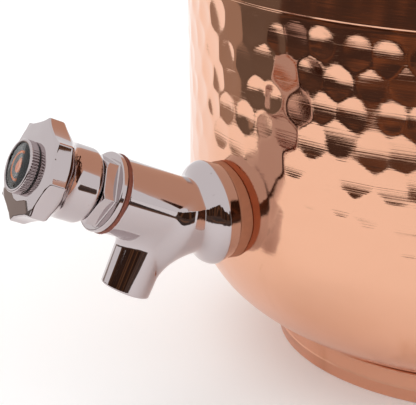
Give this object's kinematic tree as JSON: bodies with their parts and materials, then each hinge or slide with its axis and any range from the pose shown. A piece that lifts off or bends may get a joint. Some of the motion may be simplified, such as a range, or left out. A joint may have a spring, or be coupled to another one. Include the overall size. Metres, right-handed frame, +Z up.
{
  "type": "water dispenser pot",
  "caption": "Hammered copper water pot on a foot ring, with a lift-off domed lid and a screw-down chrome tap.",
  "frame": {"origin": "centre of the foot ring's resting plane", "axes": "+Z up along the pot's axis; the tap points along -Y"},
  "size_m": [0.2244, 0.2982, 0.2717],
  "materials": {
    "hammered_copper": "polished, hand hammered",
    "matte_copper": "satin, lightly stained",
    "turned_copper": "fine turned lines",
    "knob_brass": "polished",
    "plain_brass": "machined",
    "steel": "plain",
    "chrome_plate": "bright chrome plate",
    "brown_rubber": "moulded, dull",
    "clear_silicone": "translucent, dull",
    "red_fibre": "pressed fibre",
    "black_rubber": "moulded",
    "badge_enamel": "black with an orange mark",
    "badge_lens": "clear"
  },
  "bodies": {
    "pot": {"pot_body": "hammered_copper", "foot_ring": "matte_copper", "shoulder_shell": "turned_copper", "neck_collar": "turned_copper", "outer_gasket": "brown_rubber", "inner_gasket": "clear_silicone", "tail_washer": "plain_brass", "back_nut": "plain_brass", "tap_body": "chrome_plate", "head_washer": "red_fibre", "headwork_bonnet": "chrome_plate"},
    "lid": {"lid_shell": "turned_copper", "lid_plug_ring": "turned_copper", "lid_knob": "knob_brass", "lid_knob_washer": "steel", "lid_knob_screw": "steel"},
    "handle": {"tap_knob": "chrome_plate", "headwork_spindle": "plain_brass", "spindle_orings": "black_rubber", "spindle_clip": "steel", "knob_screw": "steel", "cap_ring": "chrome_plate", "cap_oring": "black_rubber", "badge_disc": "badge_enamel", "badge_lens": "badge_lens"},
    "valve": {"valve_carriage": "plain_brass", "valve_washer": "black_rubber", "valve_nut": "plain_brass"}
  },
  "joints": [
    {"name": "lid_lift", "type": "slide", "parent": "pot", "child": "lid", "axis": [0, 0, 1], "range_m": [0, 0.12]},
    {"name": "knob_turn", "type": "hinge", "parent": "pot", "child": "handle", "pos_m": [0, -0.17872, 0.08887], "axis": [0, -0.9135, 0.4067], "range_deg": [0, 450]},
    {"name": "valve_lift", "type": "slide", "parent": "pot", "child": "valve", "axis": [0, -0.9135, 0.4067], "range_m": [0, 0.00375]}
  ],
  "couplings": [
    {"joint": "knob_turn", "follows": "valve_lift", "rad_per_m": 2094.4}
  ]
}
